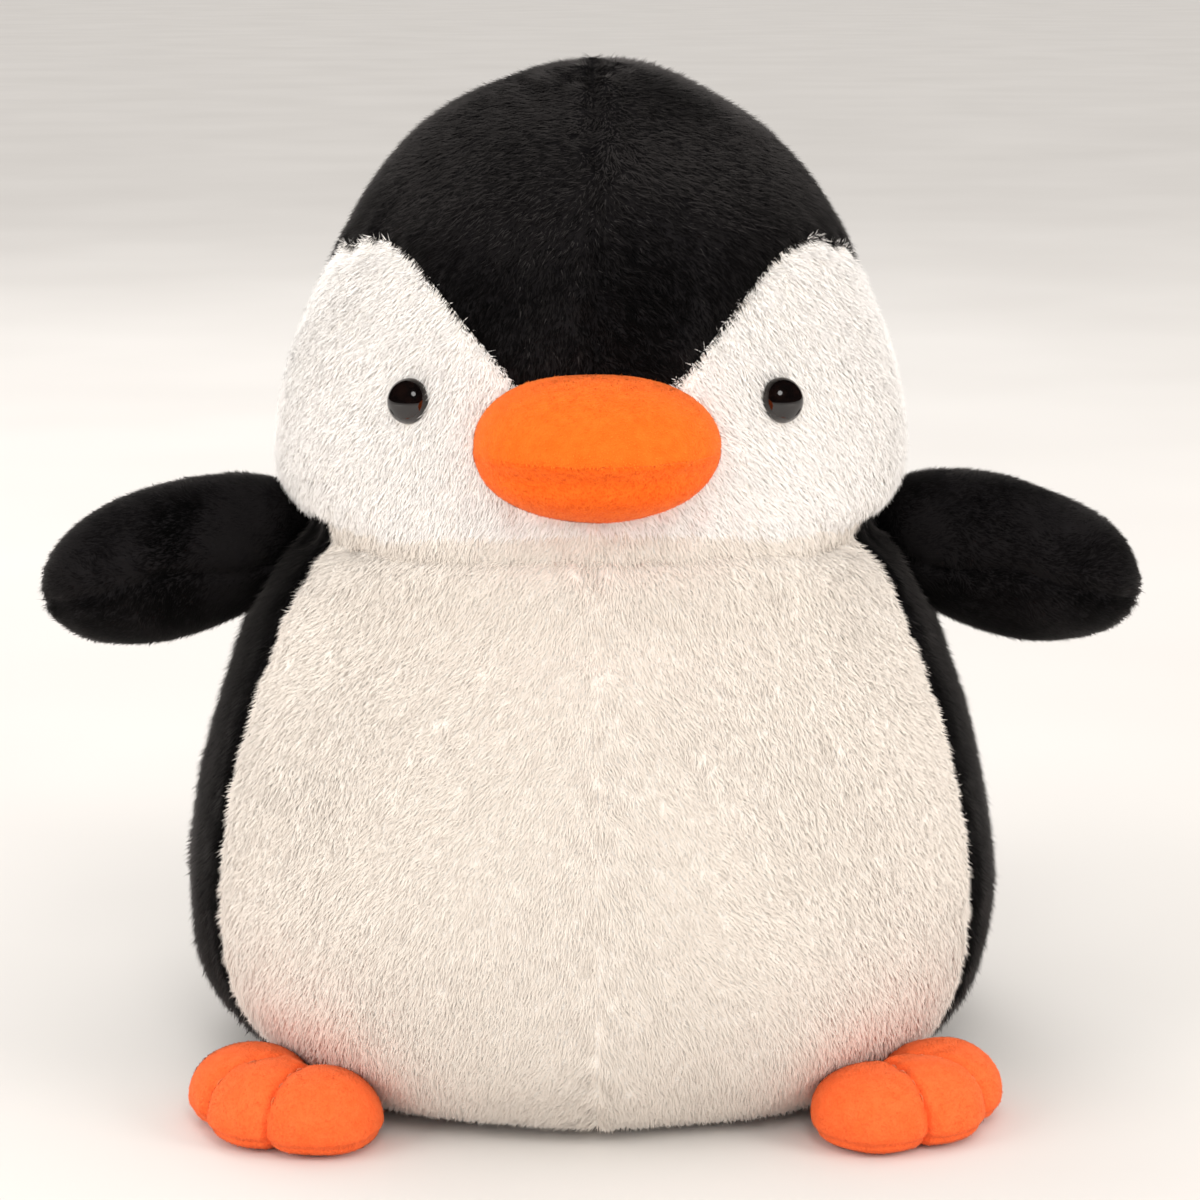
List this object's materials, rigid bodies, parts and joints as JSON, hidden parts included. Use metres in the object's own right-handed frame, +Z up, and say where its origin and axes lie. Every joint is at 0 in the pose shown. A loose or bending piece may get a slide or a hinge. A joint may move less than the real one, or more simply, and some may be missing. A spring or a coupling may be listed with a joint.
{
  "type": "plush penguin toy",
  "caption": "Round stuffed plush penguin with hinged stub wings, padded feet with stitched toes, a padded beak and domed safety eyes.",
  "frame": {"origin": "centre of the flat base panel, on the surface that the toy stands on", "axes": "+Z up; -Y the way the toy faces; +X the toy's own left"},
  "size_m": [0.3622, 0.2721, 0.325],
  "materials": {
    "black_plush": "matte",
    "white_plush": "matte",
    "orange_velboa": "matte",
    "fibre_fill": "matte",
    "eye_plastic": "gloss",
    "washer_plastic": "matte",
    "black_thread": "satin",
    "orange_thread": "satin"
  },
  "bodies": {
    "torso": {"body_stuffing": "fibre_fill", "base_panel": "white_plush", "belly_panel_left": "white_plush", "belly_panel_right": "white_plush", "back_panel_left": "black_plush", "back_panel_right": "black_plush", "cheek_panel_left": "white_plush", "cheek_panel_right": "white_plush", "crown_panel_left": "black_plush", "crown_panel_right": "black_plush", "closing_seam_thread": "black_thread", "beak_upper_panel": "orange_velboa", "beak_lower_panel": "orange_velboa", "beak_stuffing": "fibre_fill", "eye_left": "eye_plastic", "eye_right": "eye_plastic", "eye_washer_left": "washer_plastic", "eye_washer_right": "washer_plastic"},
    "wing_left": {"wing_upper_panel_left": "black_plush", "wing_lower_panel_left": "black_plush", "wing_stuffing_left": "fibre_fill"},
    "wing_right": {"wing_upper_panel_right": "black_plush", "wing_lower_panel_right": "black_plush", "wing_stuffing_right": "fibre_fill"},
    "foot_left": {"foot_top_panel_left": "orange_velboa", "foot_sole_left": "orange_velboa", "foot_stuffing_left": "fibre_fill", "toe_thread_left": "orange_thread"},
    "foot_right": {"foot_top_panel_right": "orange_velboa", "foot_sole_right": "orange_velboa", "foot_stuffing_right": "fibre_fill", "toe_thread_right": "orange_thread"}
  },
  "joints": [
    {"name": "wing_flap_left", "type": "hinge", "parent": "torso", "child": "wing_left", "pos_m": [0.105, 0, 0.1728], "axis": [0, -1, 0], "range_deg": [-15, 50], "stiffness_Nm_per_rad": 0.06},
    {"name": "wing_flap_right", "type": "hinge", "parent": "torso", "child": "wing_right", "pos_m": [-0.105, 0, 0.1728], "axis": [0, 1, 0], "range_deg": [-15, 50], "stiffness_Nm_per_rad": 0.06},
    {"name": "foot_lift_left", "type": "hinge", "parent": "torso", "child": "foot_left", "pos_m": [0.08961, -0.0928, 0.002], "axis": [-0.7193, -0.6947, 0], "range_deg": [0, 25], "stiffness_Nm_per_rad": 0.03},
    {"name": "foot_lift_right", "type": "hinge", "parent": "torso", "child": "foot_right", "pos_m": [-0.08961, -0.0928, 0.002], "axis": [-0.7193, 0.6947, 0], "range_deg": [0, 25], "stiffness_Nm_per_rad": 0.03}
  ]
}
